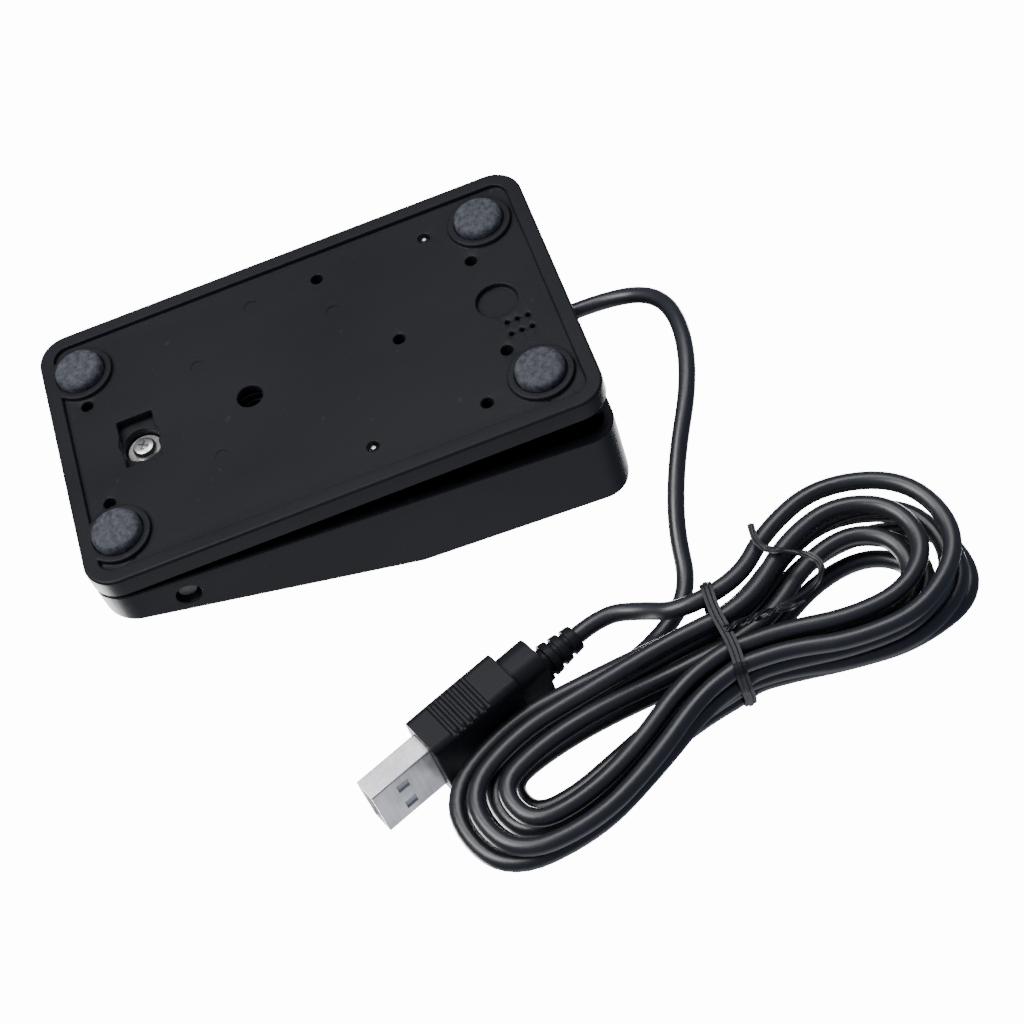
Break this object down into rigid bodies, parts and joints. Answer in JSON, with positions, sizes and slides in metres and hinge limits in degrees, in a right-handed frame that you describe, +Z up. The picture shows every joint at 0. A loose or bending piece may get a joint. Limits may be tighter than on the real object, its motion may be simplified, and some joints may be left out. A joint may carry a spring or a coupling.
{
  "type": "usb foot pedal switch",
  "caption": "Low wedge foot pedal on a flat rectangular tray with rubber feet, hinged at the heel over a small snap switch, with a tied hank of cord and a USB plug.",
  "frame": {"origin": "middle of the tray's footprint, on the plane under the four rubber feet", "axes": "+Z up, +Y towards the high toe end where the cord leaves, +X across the pedal"},
  "size_m": [0.1414, 0.142, 0.0327],
  "materials": {
    "shell_plastic": "fine-grained satin black moulded ABS",
    "foot_rubber": "grey mottled soft rubber",
    "pin_steel": "drawn bright steel rod",
    "screw_steel": "bright zinc-plated steel",
    "spring_steel": "oiled spring wire",
    "switch_plastic": "black thermoset body",
    "plunger_plastic": "red moulded plunger",
    "lever_steel": "stamped stainless strip",
    "contact_brass": "plated stamped strip",
    "switch_pin_steel": "plain steel pin",
    "board_laminate": "green coated glass laminate",
    "chip_plastic": "black moulded package",
    "can_metal": "drawn metal can",
    "solder_tin": "tinned pads and wire ends",
    "lead_red": "red insulated lead",
    "lead_black": "black insulated lead",
    "cord_jacket": "soft satin black PVC jacket",
    "core_red": "red insulated core",
    "core_white": "white insulated core",
    "core_green": "green insulated core",
    "core_black": "black insulated core",
    "tie_plastic": "black plastic ribbon over a wire",
    "plug_plastic": "satin black overmoulding",
    "plug_metal": "nickel-plated steel sheet",
    "tongue_plastic": "white insulating tongue"
  },
  "bodies": {
    "base": {"base_tray": "shell_plastic", "hinge_block": "shell_plastic", "switch_carrier": "shell_plastic", "cord_clamp": "shell_plastic", "foot_heel_left": "foot_rubber", "foot_heel_right": "foot_rubber", "foot_toe_left": "foot_rubber", "foot_toe_right": "foot_rubber", "hinge_axle": "pin_steel", "axle_screw": "screw_steel", "axle_washer": "screw_steel", "heel_screw_left": "screw_steel", "heel_screw_right": "screw_steel", "carrier_screw_left": "screw_steel", "carrier_screw_right": "screw_steel", "board_screw_left": "screw_steel", "board_screw_right": "screw_steel", "clamp_screw_left": "screw_steel", "clamp_screw_right": "screw_steel", "return_spring": "spring_steel", "switch_body": "switch_plastic", "switch_terminal_common": "contact_brass", "switch_terminal_closed": "contact_brass", "switch_terminal_open": "contact_brass", "plug_contact_1": "contact_brass", "plug_contact_2": "contact_brass", "plug_contact_3": "contact_brass", "plug_contact_4": "contact_brass", "switch_pin_rear": "switch_pin_steel", "switch_pin_front": "switch_pin_steel", "circuit_board": "board_laminate", "usb_chip": "chip_plastic", "crystal": "can_metal", "capacitor": "can_metal", "solder_header": "solder_tin", "switch_lead_open": "lead_red", "switch_lead_common": "lead_black", "cord_inner": "cord_jacket", "cord_exit_run": "cord_jacket", "cord_hank": "cord_jacket", "cord_plug_run": "cord_jacket", "cord_core_1": "core_red", "cord_core_2": "core_white", "cord_core_3": "core_green", "cord_core_4": "core_black", "twist_tie": "tie_plastic", "plug_relief": "plug_plastic", "plug_overmold": "plug_plastic", "plug_shell": "plug_metal", "plug_tongue": "tongue_plastic"},
    "pedal": {"pedal_shell": "shell_plastic"},
    "lever": {"switch_lever": "lever_steel"},
    "plunger": {"switch_plunger": "plunger_plastic"}
  },
  "joints": [
    {"name": "pedal_hinge", "type": "hinge", "parent": "base", "child": "pedal", "pos_m": [0, -0.0346, 0.013], "axis": [-1, 0, 0], "range_deg": [0, 4.1], "stiffness_Nm_per_rad": 1, "springref_deg": -10.31, "deforming": ["return_spring"]},
    {"name": "lever_pivot", "type": "hinge", "parent": "base", "child": "lever", "pos_m": [0, 0.0061, 0.02005], "axis": [-1, 0, 0], "range_deg": [0, 14.05]},
    {"name": "plunger_slide", "type": "slide", "parent": "base", "child": "plunger", "axis": [0, 0, -1], "range_m": [0, 0.0014]}
  ],
  "couplings": [
    {"joint": "lever_pivot", "follows": "pedal_hinge", "ratio": 3.4268},
    {"joint": "plunger_slide", "follows": "pedal_hinge", "m_per_rad": 0.01956}
  ]
}
